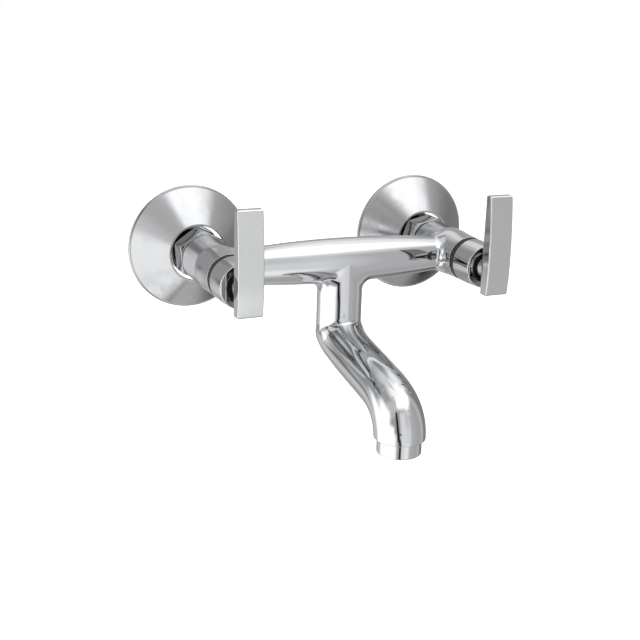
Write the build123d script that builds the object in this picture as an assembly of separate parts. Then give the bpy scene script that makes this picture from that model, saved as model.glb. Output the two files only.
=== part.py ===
from build123d import *
import math
import os

# Exposed two-handle wall mixer with a fixed bent spout.
# Frame: origin on the wall plane, midway between the two inlets.
# +X to the right, +Y into the wall, +Z up. Millimetres.
# "s" below is the distance out from the wall, so y = -s.

# ---------------- driving dimensions ----------------
CENTRES = 150.0            # inlet centres, the standard for exposed wall mixers
XV = CENTRES / 2           # valve axes at x = +-XV, z = 0

# wall leg (G1/2 to the wall, collar for the union nut)
G12_R = 10.4775            # G1/2 male thread, major radius
UNION_R = 12.0             # M24 x 1.5 male thread of the unions, major radius
LEG_THREAD = 15.0          # thread length behind the wall plane
LEG_R = 9.9
LEG_BORE_R = 6.2
LEG_KEY_AF = 12.0          # hexagon socket in the bore, for fitting the leg
COLLAR_R, COLLAR_S0, COLLAR_S1 = 11.3, 19.6, 21.6
SHOULDER_R, SHOULDER_S0, SHOULDER_S1 = 15.2, 10.5, 14.2      # fills the flange's mouth behind the nut

# rubber washer and strainer in the union
WASHER_R, WASHER_BORE_R, WASHER_T = 11.2, 8.6, 2.0
STRAINER_R, STRAINER_T = 9.8, 0.5

# union nut
NUT_AF, NUT_S0, NUT_S1 = 27.0, 17.6, 31.0
NUT_CORNER_R = 15.45
# each nut came to rest at its own angle: degrees from the vertical to a corner
NUT_TURN = {"left": 5.0, "right": -18.0}

# wall flange
FL_R, FL_LIP, FL_S, FL_T = 37.5, 2.4, 20.0, 1.1
FL_MOUTH_R = 16.4

# valve chamber of the body
VC_S0, VC_S1 = 33.6, 78.2
VC_R0, VC_R1 = 13.8, 13.3
VC_BULGE_R, VC_BULGE_S = 14.2, 59.0
INLET_BORE_R = 8.9
SEAT_S0, SEAT_S1, SEAT_BORE_R = 43.0, 46.0, 6.0
CHAMBER_R, CHAMBER_S1 = 9.8, 66.0

# cross barrel
BAR_S = 58.3
BAR_R0, BAR_R1, BAR_X1 = 13.2, 10.4, 60.0
BAR_BORE_R = 7.6

# neck and spout
NECK_S, NECK_R = 58.7, 13.4
NECK_Z = -30.0             # where the spout is brazed on
NECK_BORE_R = 8.6
SPIGOT_R, SPIGOT_L = 10.9, 6.0
WATER_R = 9.2              # waterway of the spout
OUT_S, OUT_Z = 143.5, -78.4
OUT_R = 14.3

# aerator
AER_R, AER_Z1 = 12.35, -87.0
AER_THREAD_R, AER_THREAD_L = 11.9, 6.5

# cartridge
CB_CUP_R, CB_CUP_IN_R = 9.2, 8.35
CB_S0, CB_FLOOR = 48.6, 63.6
CB_HEX_AF, CB_HEX_S0, CB_HEX_S1 = 20.0, 79.0, 83.2
CB_NECK_R, CB_NECK_S1 = 8.6, 92.0
SPINDLE_BORE_R = 5.05
DISC_T = 3.6
FIXED_S0 = 50.6
MOVING_S0 = FIXED_S0 + DISC_T
MOVING_S1 = MOVING_S0 + DISC_T
DRIVER_W = 6.0
SPINDLE_R = 4.99
SPLINE_R, SPLINE_ROOT_R, SPLINE_TEETH = 3.95, 3.55, 20

# bonnet sleeve, standing on a black ring
BN_RING_R0, BN_RING_R1 = 11.75, 12.85
BN_S0, BN_S1 = 82.8, 98.6
BN_R0, BN_R1 = 13.3, 12.6
BN_HOLE_R = 8.66
BN_FRONT_R, BN_FRONT_S = 9.0, 95.0      # counterbore at the front for the hub ring
HUB_RING_R0, HUB_RING_S1 = 7.55, 97.4

# lever handle
HUB_R, HUB_R1, HUB_S0 = 7.4, 6.2, 94.6
HUB_BORE_R = 4.02
LEVER_W, LEVER_TOP, LEVER_BOTTOM = 14.4, 44.0, -13.8
LEVER_BACK_S, LEVER_FRONT_S = 105.0, 112.6
GRUB_R, GRUB_S = 2.0, 101.1

os.makedirs("parts", exist_ok=True)
nodes = {}


# ---------------- helpers ----------------
def turned(profile, x=0.0):
    """A solid turned about the valve axis: profile is a closed list of (radius, s)."""
    pts = [(x + r, -s, 0) for r, s in profile]
    face = make_face(Polyline(*pts, close=True))
    return revolve(face, axis=Axis((x, 0, 0), (0, -1, 0)), revolution_arc=360)


def ring(r_in, r_out, s0, s1, x=0.0):
    return turned([(r_in, s0), (r_out, s0), (r_out, s1), (r_in, s1)], x)


def rod(r, s0, s1, x=0.0):
    return turned([(0, s0), (r, s0), (r, s1), (0, s1)], x)


def hexagon(af, s0, s1, turn=0.0, x=0.0):
    """A hexagonal bar along the valve axis, a corner "turn" degrees off the vertical."""
    cr = af / math.sqrt(3)
    pts = []
    for i in range(6):
        a = math.radians(90 + turn + 60 * i)
        pts.append((x + cr * math.cos(a), -s0, cr * math.sin(a)))
    face = make_face(Polyline(*pts, close=True))
    return extrude(face, amount=s1 - s0, dir=(0, -1, 0))


def block(x0, x1, s0, s1, z0, z1):
    return Pos((x0 + x1) / 2, -(s0 + s1) / 2, (z0 + z1) / 2) * Box(x1 - x0, s1 - s0, z1 - z0)


def sector(r0, r1, a0, a1, s0, s1, x=0.0):
    """A ring sector about the valve axis, angles in degrees from +X towards +Z."""
    n = 16
    pts = []
    for i in range(n + 1):
        a = math.radians(a0 + (a1 - a0) * i / n)
        pts.append((x + r1 * math.cos(a), -s0, r1 * math.sin(a)))
    for i in range(n + 1):
        a = math.radians(a1 - (a1 - a0) * i / n)
        pts.append((x + r0 * math.cos(a), -s0, r0 * math.sin(a)))
    face = make_face(Polyline(*pts, close=True))
    return extrude(face, amount=s1 - s0, dir=(0, -1, 0))


def eased(shape, edges, radius):
    """Fillet the edges, or leave them sharp where the kernel can't."""
    try:
        out = fillet(edges, radius)
        return out if out.is_valid else shape
    except Exception:
        return shape


# ---------------- the right-hand side, built at x = XV ----------------
def wall_leg():
    leg = rod(G12_R, -LEG_THREAD, 0) + rod(LEG_R, 0, COLLAR_S0) + rod(COLLAR_R, COLLAR_S0, COLLAR_S1)
    leg += turned([(0, SHOULDER_S0), (SHOULDER_R - 0.4, SHOULDER_S0), (SHOULDER_R, SHOULDER_S0 + 0.4),
                   (SHOULDER_R, SHOULDER_S1 - 0.4), (SHOULDER_R - 0.4, SHOULDER_S1), (0, SHOULDER_S1)])
    leg -= rod(LEG_BORE_R, -LEG_THREAD - 1, 8.0)
    leg -= hexagon(LEG_KEY_AF + 0.8, 8.0, COLLAR_S1 + 1)
    return leg


def inlet_washer():
    return ring(WASHER_BORE_R, WASHER_R, COLLAR_S1, COLLAR_S1 + WASHER_T)


def strainer():
    s0 = COLLAR_S1 + WASHER_T
    disc = rod(STRAINER_R, s0, s0 + STRAINER_T)
    holes = []
    for k, (rr, n) in enumerate([(0, 1), (2.6, 6), (5.2, 12)]):
        for i in range(n):
            a = 2 * math.pi * (i + 0.5 * (k % 2)) / n
            holes.append(
                Pos(rr * math.cos(a), -(s0 + STRAINER_T / 2), rr * math.sin(a))
                * Rot(90, 0, 0) * Cylinder(0.85, 3 * STRAINER_T)
            )
    for h in holes:
        disc -= h
    return disc


def union_nut(turn):
    nut = hexagon(NUT_AF, NUT_S0, NUT_S1, turn)
    c = 2.1                 # turned ends: the corners run off in a 30 degree chamfer
    d = c / math.tan(math.radians(60))
    nut &= turned([(0, NUT_S0), (NUT_CORNER_R - c, NUT_S0), (NUT_CORNER_R, NUT_S0 + d),
                   (NUT_CORNER_R, NUT_S1 - d), (NUT_CORNER_R - c, NUT_S1), (0, NUT_S1)])
    nut -= rod(LEG_R + 0.25, NUT_S0 - 1, COLLAR_S0 - 0.5)
    nut -= rod(UNION_R + 0.06, COLLAR_S0, NUT_S1 + 1)
    nut -= rod(LEG_R + 0.25, COLLAR_S0 - 1, COLLAR_S0 + 0.1)
    return nut


def wall_flange():
    # a straight cone of sheet metal with a rolled rim at the wall and a plain round mouth
    k = (FL_R - 1.2 - FL_MOUTH_R - 1.2) / (FL_S - FL_LIP)      # run of the cone
    w = FL_T * math.sqrt(1 + k * k)                            # its wall, measured across
    profile = [
        (FL_R - 0.7, 0.0), (FL_R - 0.2, 0.3), (FL_R, 0.9), (FL_R, 1.4), (FL_R - 0.35, 2.0),
        (FL_R - 1.2, FL_LIP),
        (FL_MOUTH_R + 1.2 + 0.5 * k, FL_S - 0.5),
        (FL_MOUTH_R + 1.2, FL_S - 0.15), (FL_MOUTH_R + 0.85, FL_S),
        (FL_MOUTH_R + 0.2, FL_S), (FL_MOUTH_R, FL_S - 0.2),
        (FL_MOUTH_R, FL_S - 1.2),
        (FL_R - 1.2 - w, FL_LIP),
        (FL_R - FL_T - 0.3, 1.0),
        (FL_R - FL_T - 0.3, 0.0),
    ]
    return turned(profile)


def seat_seal():
    return turned([(6.3, SEAT_S1), (8.0, SEAT_S1), (8.0, FIXED_S0), (6.6, FIXED_S0), (6.3, FIXED_S0 - 0.8)])


def fixed_disc():
    d = rod(8.25, FIXED_S0, MOVING_S0)
    for a in (0, 180):
        d -= sector(2.6, 6.6, a - 38, a + 38, FIXED_S0 - 1, MOVING_S0 + 1)
    return d


def moving_disc():
    d = rod(8.1, MOVING_S0, MOVING_S1)
    for a in (90, 270):
        d -= sector(3.6, 6.6, a - 36, a + 36, MOVING_S0 - 1, MOVING_S1 + 1)
    d -= block(-9, 9, MOVING_S1 - 1.5, MOVING_S1 + 1, -DRIVER_W / 2 - 0.05, DRIVER_W / 2 + 0.05)
    return d


def cartridge_body():
    b = turned([
        (CB_CUP_IN_R, CB_S0), (CB_CUP_R, CB_S0), (CB_CUP_R, CHAMBER_S1 + 0.4),
        (G12_R - 0.04, CHAMBER_S1 + 1.4), (G12_R - 0.04, VC_S1 + 0.8), (CB_NECK_R, VC_S1 + 0.8),
        (CB_NECK_R, CB_NECK_S1 - 0.5), (CB_NECK_R - 0.5, CB_NECK_S1), (SPINDLE_BORE_R, CB_NECK_S1),
        (SPINDLE_BORE_R, CB_FLOOR), (CB_CUP_IN_R, CB_FLOOR),
    ])
    hexa = hexagon(CB_HEX_AF, CB_HEX_S0, CB_HEX_S1, 30) - rod(CB_NECK_R - 0.2, CB_HEX_S0 - 1, CB_HEX_S1 + 1)
    b += hexa
    # outlet windows of the cup, on both sides
    for sx in (-1, 1):
        b -= block(min(sx * 6, sx * 10), max(sx * 6, sx * 10), MOVING_S1 + 0.7, CB_FLOOR - 0.9, -4.2, 4.2)
    # two stops in the cup that meet the spindle's driver at closed and at full open
    for a in (45, 225):
        b += sector(6.4, CB_CUP_IN_R + 0.3, a - 15, a + 15, MOVING_S1 + 0.6, CB_FLOOR + 0.1) & rod(CB_CUP_R - 0.1, CB_S0, CB_FLOOR + 1)
    return b


def spindle():
    driver = block(-8, 8, MOVING_S1 - 1.4, CB_FLOOR - 0.2, -DRIVER_W / 2, DRIVER_W / 2)
    driver &= rod(7.9, MOVING_S1 - 2, CB_FLOOR)
    stem = turned([
        (0, CB_FLOOR - 1.2), (SPINDLE_R, CB_FLOOR - 1.2), (SPINDLE_R, 70.0), (3.5, 70.0), (3.5, 72.2),
        (SPINDLE_R, 72.2), (SPINDLE_R, 76.0), (3.5, 76.0), (3.5, 78.2), (SPINDLE_R, 78.2),
        (SPINDLE_R, CB_NECK_S1 + 0.1), (3.4, CB_NECK_S1 + 0.1), (3.4, CB_NECK_S1 + 1.1),
        (SPLINE_ROOT_R + 0.1, CB_NECK_S1 + 1.1), (SPLINE_ROOT_R + 0.1, HUB_S0 - 0.1), (0, HUB_S0 - 0.1),
    ])
    pts = []
    for i in range(SPLINE_TEETH):
        for f, r in ((-0.36, SPLINE_ROOT_R), (-0.14, SPLINE_R), (0.14, SPLINE_R), (0.36, SPLINE_ROOT_R)):
            a = 2 * math.pi * (i + f) / SPLINE_TEETH
            pts.append((r * math.cos(a), -(HUB_S0 - 0.2), r * math.sin(a)))
    spline = extrude(make_face(Polyline(*pts, close=True)), amount=11.4, dir=(0, -1, 0))
    return driver + stem + spline


def spindle_orings():
    out = []
    for s in (70.1, 76.1):
        out.append(turned([(3.52, s + 0.4), (3.9, s), (4.6, s), (SPINDLE_BORE_R - 0.02, s + 0.5),
                           (SPINDLE_BORE_R - 0.02, s + 1.5), (4.6, s + 2.0), (3.9, s + 2.0), (3.52, s + 1.6)]))
    return Compound(children=[o if isinstance(o, Solid) else o.solids()[0] for o in out])


def spindle_clip():
    c = ring(3.42, 6.2, CB_NECK_S1 + 0.15, CB_NECK_S1 + 1.05)
    return c - block(-1.6, 1.6, CB_NECK_S1, CB_NECK_S1 + 2, -8, -2)


def bonnet_washer():
    return ring(G12_R + 0.05, 11.6, VC_S1, VC_S1 + 0.8)


def bonnet_ring():
    return ring(BN_RING_R0, BN_RING_R1, VC_S1, BN_S0)


def bonnet():
    body = turned([
        (11.75, BN_S0), (BN_R0 - 0.15, BN_S0), (BN_R0, BN_S0 + 0.15), (BN_R0 - 0.12, BN_S0 + 7),
        (BN_R1, BN_S1 - 0.5), (BN_R1 - 0.15, BN_S1 - 0.15), (BN_R1 - 0.5, BN_S1),
        (BN_FRONT_R + 0.25, BN_S1), (BN_FRONT_R, BN_S1 - 0.25), (BN_FRONT_R, BN_FRONT_S),
        (BN_HOLE_R, BN_FRONT_S), (BN_HOLE_R, 85.6), (11.75, 85.6),
    ])
    return body


def hub_ring():
    return turned([
        (HUB_RING_R0, BN_FRONT_S), (BN_FRONT_R - 0.02, BN_FRONT_S), (BN_FRONT_R - 0.02, HUB_RING_S1),
        (HUB_RING_R0 + 0.3, HUB_RING_S1), (HUB_RING_R0, HUB_RING_S1 - 0.3),
    ])


def handle():
    # side profile of the lever in (s, z): flat back, gently crowned front, rounded ends
    prof = [
        (LEVER_BACK_S, LEVER_BOTTOM + 1.0), (LEVER_BACK_S + 0.9, LEVER_BOTTOM + 0.15),
        (LEVER_FRONT_S - 3.0, LEVER_BOTTOM), (LEVER_FRONT_S - 1.6, LEVER_BOTTOM + 0.6),
        (LEVER_FRONT_S - 0.85, LEVER_BOTTOM + 2.4), (LEVER_FRONT_S - 0.3, LEVER_BOTTOM + 7.0),
        (LEVER_FRONT_S, 2.0), (LEVER_FRONT_S, 12.0), (LEVER_FRONT_S - 0.35, 22.0), (LEVER_FRONT_S - 1.1, 32.0),
        (LEVER_FRONT_S - 2.1, 41.0), (LEVER_FRONT_S - 2.7, LEVER_TOP - 1.1),
        (LEVER_FRONT_S - 3.3, LEVER_TOP - 0.2), (LEVER_FRONT_S - 4.0, LEVER_TOP),
        (LEVER_BACK_S + 0.9, LEVER_TOP), (LEVER_BACK_S + 0.1, LEVER_TOP - 0.7), (LEVER_BACK_S, LEVER_TOP - 1.6),
    ]
    pts = [(-LEVER_W / 2, -s, z) for s, z in prof]
    bar = extrude(make_face(Polyline(*pts, close=True)), amount=LEVER_W, dir=(1, 0, 0))
    # eased long edges
    long_edges = [e for e in bar.edges() if abs(abs(e.center().X) - LEVER_W / 2) < 1e-6]
    try:
        soft = chamfer(long_edges, 0.5)
        if soft.is_valid:
            bar = soft
    except Exception:
        pass
    # the hub tapers a little towards the lever, from where it leaves its ring
    hub = turned([(0, HUB_S0), (HUB_R - 0.4, HUB_S0), (HUB_R, HUB_S0 + 0.4), (HUB_R, HUB_RING_S1 - 0.2),
                  (HUB_R1, LEVER_BACK_S), (HUB_R1, LEVER_BACK_S + 1.0), (0, LEVER_BACK_S + 1.0)])
    h = bar + hub
    h -= rod(HUB_BORE_R, HUB_S0 - 1, HUB_S0 + 11.4)
    # grub screw hole, up from below into the spindle bore
    h -= Pos(0, -GRUB_S, -(HUB_R + HUB_BORE_R) / 2) * Cylinder(GRUB_R + 0.04, HUB_R - HUB_BORE_R + 4)
    return h


def grub_screw():
    z1, z0 = -(HUB_BORE_R - 0.02), -(HUB_R - 0.95)
    g = Pos(0, -GRUB_S, (z0 + z1) / 2) * Cylinder(GRUB_R, z1 - z0)
    cr = 2.0 / math.sqrt(3)
    pts = [(cr * math.cos(math.radians(60 * i)), -GRUB_S + cr * math.sin(math.radians(60 * i)), z0 - 0.5) for i in range(6)]
    return g - extrude(make_face(Polyline(*pts, close=True)), amount=1.6, dir=(0, 0, 1))


SIDE = {
    "connecting_leg": wall_leg,
    "inlet_washer": inlet_washer,
    "strainer": strainer,
    "wall_flange": wall_flange,
    "seat_seal": seat_seal,
    "fixed_disc": fixed_disc,
    "moving_disc": moving_disc,
    "cartridge_body": cartridge_body,
    "spindle": spindle,
    "spindle_orings": spindle_orings,
    "spindle_clip": spindle_clip,
    "bonnet_washer": bonnet_washer,
    "bonnet_ring": bonnet_ring,
    "bonnet": bonnet,
    "hub_ring": hub_ring,
    "handle": handle,
    "grub_screw": grub_screw,
}
for name, maker in SIDE.items():
    right = Pos(XV, 0, 0) * maker()
    nodes["right_" + name] = right
    # the left side is the mirror image, all but the nuts
    nodes["left_" + name] = mirror(right, about=Plane.YZ)
nodes["right_union_nut"] = Pos(XV, 0, 0) * union_nut(NUT_TURN["right"])
nodes["left_union_nut"] = Pos(-XV, 0, 0) * union_nut(NUT_TURN["left"])


# ---------------- mixer body ----------------
def barrel_r(x):
    return BAR_R0 - (BAR_R0 - BAR_R1) * (x / BAR_X1) ** 2


def chamber(x):
    c = turned([
        (0, COLLAR_S1 + WASHER_T), (UNION_R - 0.5, COLLAR_S1 + WASHER_T), (UNION_R, COLLAR_S1 + WASHER_T + 0.5),
        (UNION_R, VC_S0), (VC_R0 - 0.3, VC_S0), (VC_R0, VC_S0 + 0.3), (VC_R0 + 0.1, 46.0), (VC_BULGE_R, 53.0),
        (VC_BULGE_R, 65.0), (VC_R1 + 0.35, 71.0), (VC_R1, VC_S1 - 0.15), (VC_R1 - 0.15, VC_S1), (0, VC_S1),
    ], x)
    return c


def chamber_void(x):
    s0 = COLLAR_S1 + WASHER_T
    v = rod(STRAINER_R + 0.05, s0 - 1, s0 + STRAINER_T, x) + rod(INLET_BORE_R, s0 - 1, SEAT_S0, x)
    v += rod(SEAT_BORE_R, SEAT_S0 - 1, SEAT_S1 + 1, x)
    v += rod(CHAMBER_R, SEAT_S1, CHAMBER_S1 + 0.5, x)
    v += rod(G12_R, CHAMBER_S1, VC_S1 + 1, x)
    return v


# barrel: turned about its own axis from a smooth profile
n = 12
spl = [(BAR_X1 * 1.2 * (2 * i / n - 1), barrel_r(BAR_X1 * 1.2 * (2 * i / n - 1))) for i in range(n + 1)]
xe = spl[-1][0]
top = Spline(*[(x, -BAR_S, r) for x, r in spl])
side = [Line((xe, -BAR_S, spl[-1][1]), (xe, -BAR_S, 0)), Line((xe, -BAR_S, 0), (-xe, -BAR_S, 0)),
        Line((-xe, -BAR_S, 0), (-xe, -BAR_S, spl[0][1]))]
barrel = revolve(make_face(Wire([top.edge() if hasattr(top, "edge") else top] + [l.edge() for l in side])),
                 axis=Axis((0, -BAR_S, 0), (1, 0, 0)), revolution_arc=360)


def flat_oval(z, rx, ry, s=NECK_S):
    return Pos(0, -s, z) * Ellipse(rx, ry) if rx >= ry else Pos(0, -s, z) * Ellipse(rx, ry)


# neck: round, opening sideways into the barrel with a soft flare
neck = loft([
    Pos(0, -NECK_S, NECK_Z) * Circle(NECK_R),
    Pos(0, -NECK_S, -21.5) * Circle(NECK_R),
    Pos(0, -NECK_S, -17.0) * Ellipse(13.9, 13.3),
    Pos(0, -NECK_S, -13.0) * Ellipse(15.6, 13.0),
    Pos(0, -NECK_S, -10.0) * Ellipse(18.6, 12.4),
    Pos(0, -NECK_S, -6.0) * Ellipse(20.0, 11.4),
])
body = barrel + chamber(-XV) + chamber(XV) + neck
body -= Pos(0, -BAR_S, 0) * Rot(0, 90, 0) * Cylinder(BAR_BORE_R, 2 * XV)
body -= chamber_void(-XV)
body -= chamber_void(XV)
body -= Pos(0, -NECK_S, NECK_Z / 2) * Cylinder(NECK_BORE_R, -NECK_Z + 1)
body -= Pos(0, -NECK_S, NECK_Z + SPIGOT_L / 2) * Cylinder(SPIGOT_R + 0.05, SPIGOT_L + 0.1)
nodes["mixer_body"] = body

# ---------------- spout ----------------
# centre line in (s, z) with the outer radius; first the drop, then forward, then down
LINE = [
    (62.6, -45.4, 13.9), (70.5, -48.6, 13.5), (85.4, -51.7, 13.35), (100.4, -54.1, 13.4),
    (115.3, -56.6, 13.4), (124.0, -58.3, 13.5), (130.6, -60.6, 13.75), (136.4, -64.0, 14.05),
    (140.6, -68.5, 14.3), (142.9, -73.4, 14.35), (OUT_S, OUT_Z, OUT_R),
]


def along(i):
    """Direction of the centre line at point i."""
    a = LINE[max(i - 1, 0)]
    b = LINE[min(i + 1, len(LINE) - 1)]
    if i == len(LINE) - 1:
        return (0.0, -1.0)
    ds, dz = b[0] - a[0], b[1] - a[1]
    l = math.hypot(ds, dz)
    return (ds / l, dz / l)


def section(i, r):
    s, z, _ = LINE[i]
    ds, dz = along(i)
    return Plane(origin=(0, -s, z), x_dir=(1, 0, 0), z_dir=(0, -ds, dz)) * Circle(r)


outer = loft([section(i, LINE[i][2]) for i in range(len(LINE))])
inner_line = loft([section(i, min(WATER_R, LINE[i][2] - 2)) for i in range(len(LINE))])
drop = Pos(0, -NECK_S, (NECK_Z - 44.0) / 2) * Cylinder(NECK_R, NECK_Z + 44.0)
ball = Pos(0, -61.0, -44.0) * Sphere(14.0)
spout = outer + drop + ball
crease = [e for e in spout.edges() if e.center().Y < -66 and -46 < e.center().Z < -30]
spout -= inner_line
spout -= Pos(0, -NECK_S, (NECK_Z - 44.0) / 2) * Cylinder(WATER_R, NECK_Z + 44.0 + 0.2)
spout -= Pos(0, -61.0, -44.4) * Sphere(WATER_R + 1.0)
spout -= Pos(0, -OUT_S, OUT_Z + AER_THREAD_L / 2) * Cylinder(AER_THREAD_R + 0.05, AER_THREAD_L + 0.1)
spout -= Pos(0, -OUT_S, OUT_Z - 2) * Cylinder(30, 4)
spigot = Pos(0, -NECK_S, NECK_Z + SPIGOT_L / 2 - 0.2) * (Cylinder(SPIGOT_R, SPIGOT_L) - Cylinder(WATER_R, SPIGOT_L + 1))
spout += spigot
nodes["spout"] = spout

# ---------------- aerator ----------------
thread_z = OUT_Z + AER_THREAD_L - 2.2
hous = Pos(0, -OUT_S, (OUT_Z + AER_Z1) / 2) * Cylinder(AER_R, OUT_Z - AER_Z1)
hous += Pos(0, -OUT_S, (thread_z + OUT_Z) / 2 - 0.1) * Cylinder(AER_THREAD_R, thread_z - OUT_Z + 0.2)
rim = [e for e in hous.edges() if abs(e.center().Z - AER_Z1) < 1e-6]
hous = eased(hous, rim, 0.9)
hous -= Pos(0, -OUT_S, (thread_z + AER_Z1) / 2 + 1.2) * Cylinder(10.3, thread_z - AER_Z1 + 2)
hous -= Pos(0, -OUT_S, AER_Z1) * Cylinder(9.5, 8)
nodes["aerator_housing"] = hous

INS_Z0 = AER_Z1 + 2.4       # underside of the insert, resting on the housing's lip
insert = Pos(0, -OUT_S, (INS_Z0 + thread_z) / 2) * Cylinder(10.2, thread_z - INS_Z0)
for k in range(-4, 5):
    for j in range(-4, 5):
        hx = 2.15 * (k + 0.5 * (j % 2))
        hy = 2.15 * 0.866 * j
        if math.hypot(hx, hy) < 8.4:
            insert -= Pos(hx, -OUT_S + hy, (INS_Z0 + thread_z) / 2) * Cylinder(0.85, 20)
nodes["aerator_insert"] = insert
washer_t = 1.9
nodes["aerator_washer"] = Pos(0, -OUT_S, thread_z + washer_t / 2 + 0.0) * (Cylinder(AER_THREAD_R - 0.1, washer_t) - Cylinder(9.2, 5))

# ---------------- write ----------------
for name, shape in nodes.items():
    solids = shape.solids()
    out = solids[0] if len(solids) == 1 else Compound(children=list(solids))
    export_step(out, f"parts/{name}.step")
print(len(nodes), "nodes")
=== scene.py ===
import math

import bmesh
import bpy
import numpy as np
from mathutils import Matrix, Vector


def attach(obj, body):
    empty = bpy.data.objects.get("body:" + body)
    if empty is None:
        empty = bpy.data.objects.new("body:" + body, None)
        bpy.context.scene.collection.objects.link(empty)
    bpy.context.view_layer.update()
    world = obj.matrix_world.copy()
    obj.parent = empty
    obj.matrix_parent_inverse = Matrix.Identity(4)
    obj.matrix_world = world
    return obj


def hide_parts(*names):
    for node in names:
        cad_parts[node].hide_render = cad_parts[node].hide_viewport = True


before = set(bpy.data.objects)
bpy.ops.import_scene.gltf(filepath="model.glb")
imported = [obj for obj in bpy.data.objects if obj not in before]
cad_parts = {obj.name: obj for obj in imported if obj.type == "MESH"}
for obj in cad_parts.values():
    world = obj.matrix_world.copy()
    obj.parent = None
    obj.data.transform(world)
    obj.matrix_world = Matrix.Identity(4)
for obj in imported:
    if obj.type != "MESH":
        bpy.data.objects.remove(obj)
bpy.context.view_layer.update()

# Exposed two-handle wall mixer. Lengths below are millimetres in the part's own frame:
# origin on the wall plane midway between the inlets, +X right, +Y into the wall, +Z up.
# "s" is the distance out from the wall, so y = -s.
MM = 0.001
XV = 75.0
BAR_S = 58.3
NECK_S, NECK_R, NECK_Z = 58.7, 13.4, -30.0
OUT_S, OUT_Z = 143.5, -78.4
AER_Z1 = -87.0
SIDES = (("left", -XV), ("right", XV))

scene = bpy.context.scene


# ------------------------------------------------------------------ mesh building
class Build:
    """Collects vertices (x, y, z in mm), faces and one normal for each face corner."""

    def __init__(self):
        self.v, self.f, self.n, self.count = [], [], [], 0

    def quads(self, verts, quads, normals):
        """Adds verts and quads (m, 4) with corner normals (m, 4, 3); each quad is turned to agree with its normals."""
        p = verts[quads]
        g = np.cross(p[:, 2] - p[:, 0], p[:, 3] - p[:, 1])
        bad = (g * normals.sum(1)).sum(1) < 0
        quads, normals = quads.copy(), normals.copy()
        quads[bad] = quads[bad][:, ::-1]
        normals[bad] = normals[bad][:, ::-1]
        self.f += (quads + self.count).tolist()
        self.n += list(normals)
        self.v.append(verts)
        self.count += len(verts)

    def make(self, name, at=(0, 0, 0)):
        v = (np.concatenate(self.v) + np.array(at, float)) * MM
        n = np.concatenate([np.asarray(x).reshape(-1, 3) for x in self.n])
        n = n / np.maximum(np.linalg.norm(n, axis=1, keepdims=True), 1e-12)
        mesh = bpy.data.meshes.new(name)
        mesh.from_pydata(v.tolist(), [], self.f)
        mesh.update()
        mesh.shade_smooth()
        mesh.normals_split_custom_set(n.tolist())
        obj = bpy.data.objects.new(name, mesh)
        scene.collection.objects.link(obj)
        return obj


def profile_normals(prof, closed, crease=33.0):
    """Outward normals at the two ends of every profile segment; shared across a corner that is only slight."""
    m = len(prof)
    p = np.array(prof, float)
    segs = m if closed else m - 1
    d = np.array([p[(i + 1) % m] - p[i] for i in range(segs)])
    ln = np.maximum(np.linalg.norm(d, axis=1), 1e-12)
    if closed:
        q = np.roll(p, -1, 0)
        sign = 1.0 if (p[:, 0] * q[:, 1] - q[:, 0] * p[:, 1]).sum() > 0 else -1.0
    else:
        sign = 1.0 if p[1, 1] > p[0, 1] else -1.0
    nn = sign * np.stack([d[:, 1], -d[:, 0]], 1) / ln[:, None]
    out = np.stack([nn, nn], 1)
    for i in range(m):
        a = (i - 1) % segs if (closed or i > 0) else None
        b = i if i < segs else None
        if a is None or b is None or nn[a] @ nn[b] < math.cos(math.radians(crease)):
            continue
        v = nn[a] * ln[a] ** 2 + nn[b] * ln[b] ** 2      # a long straight run keeps its own normal
        v /= np.linalg.norm(v)
        out[a, 1], out[b, 0] = v, v
    return out


def turned_points(r, t, centre, axis, ang):
    c, s = np.cos(ang), np.sin(ang)
    if axis == "s":
        return np.stack([centre[0] + r * c, np.full(len(ang), -t), centre[1] + r * s], 1)
    return np.stack([centre[0] + r * c, centre[1] + r * s, np.full(len(ang), t)], 1)


def turned_normals(v2, axis, ang):
    c, s = np.cos(ang), np.sin(ang)
    if axis == "s":
        return np.stack([v2[0] * c, np.full(len(ang), -v2[1]), v2[0] * s], 1)
    return np.stack([v2[0] * c, v2[0] * s, np.full(len(ang), v2[1])], 1)


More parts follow.
